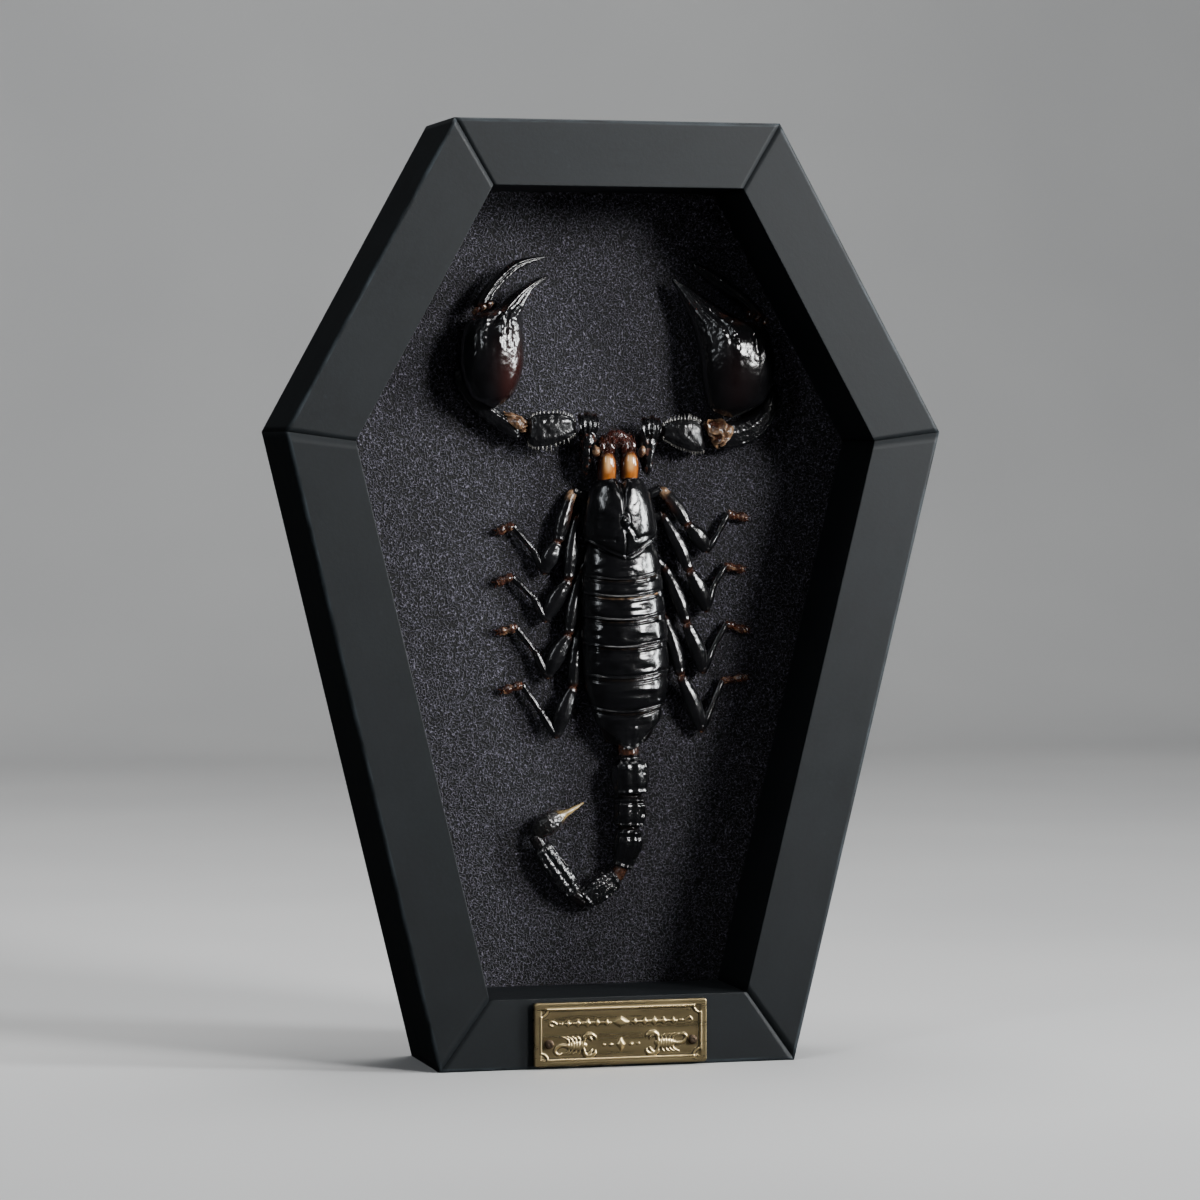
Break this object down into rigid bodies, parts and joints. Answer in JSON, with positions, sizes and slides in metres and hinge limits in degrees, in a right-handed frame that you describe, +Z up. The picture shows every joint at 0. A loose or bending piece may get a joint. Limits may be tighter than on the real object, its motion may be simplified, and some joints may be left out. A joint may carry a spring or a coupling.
{
  "type": "framed scorpion specimen",
  "caption": "Six-sided standing shadow box with a fabric-lined back, holding a dried black scorpion with its tail curled to one side, and a brass plaque on the bottom rail.",
  "frame": {"origin": "centre of the footprint, on the surface that the bottom rail stands on", "axes": "+Z up the frame, front and open side towards -Y, +X to the right as seen from the front"},
  "size_m": [0.143, 0.0302, 0.2],
  "materials": {
    "frame_wood": "satin black paint over faint grain",
    "lining_fabric": "pebbled black crepe with a fine sparkle",
    "backing_board": "bare hardboard",
    "spring_steel": "bare pressed tabs",
    "plaque_brass": "antique brass, dark in the recesses",
    "rivet_bronze": "dark domed bronze",
    "black_shell": "glossy black dried shell",
    "amber_shell": "glossy amber-brown dried shell",
    "horn_shell": "brown-black shell turning to pale horn at the sting"
  },
  "bodies": {
    "root": {"rail_bottom": "frame_wood", "rail_lower_left": "frame_wood", "rail_upper_left": "frame_wood", "rail_top": "frame_wood", "rail_upper_right": "frame_wood", "rail_lower_right": "frame_wood", "tab_bottom": "spring_steel", "tab_lower_left_1": "spring_steel", "tab_lower_left_2": "spring_steel", "tab_upper_left": "spring_steel", "tab_top": "spring_steel", "tab_upper_right": "spring_steel", "tab_lower_right_1": "spring_steel", "tab_lower_right_2": "spring_steel", "fabric_lining": "lining_fabric", "back_board": "backing_board", "plaque": "plaque_brass", "rivet_left": "rivet_bronze", "rivet_right": "rivet_bronze", "carapace": "black_shell", "abdomen": "black_shell", "jaw_left": "amber_shell", "jaw_right": "amber_shell", "tail_segment_1": "black_shell", "tail_segment_2": "black_shell", "tail_segment_3": "black_shell", "tail_segment_4": "black_shell", "tail_segment_5": "black_shell", "sting": "horn_shell", "arm_base_left": "black_shell", "arm_femur_left": "black_shell", "arm_patella_left": "black_shell", "arm_hand_left": "black_shell", "arm_finger_left": "black_shell", "leg_1_left": "black_shell", "leg_2_left": "black_shell", "leg_3_left": "black_shell", "leg_4_left": "black_shell", "arm_base_right": "black_shell", "arm_femur_right": "black_shell", "arm_patella_right": "black_shell", "arm_hand_right": "black_shell", "arm_finger_right": "black_shell", "leg_1_right": "black_shell", "leg_2_right": "black_shell", "leg_3_right": "black_shell", "leg_4_right": "black_shell"}
  },
  "joints": []
}
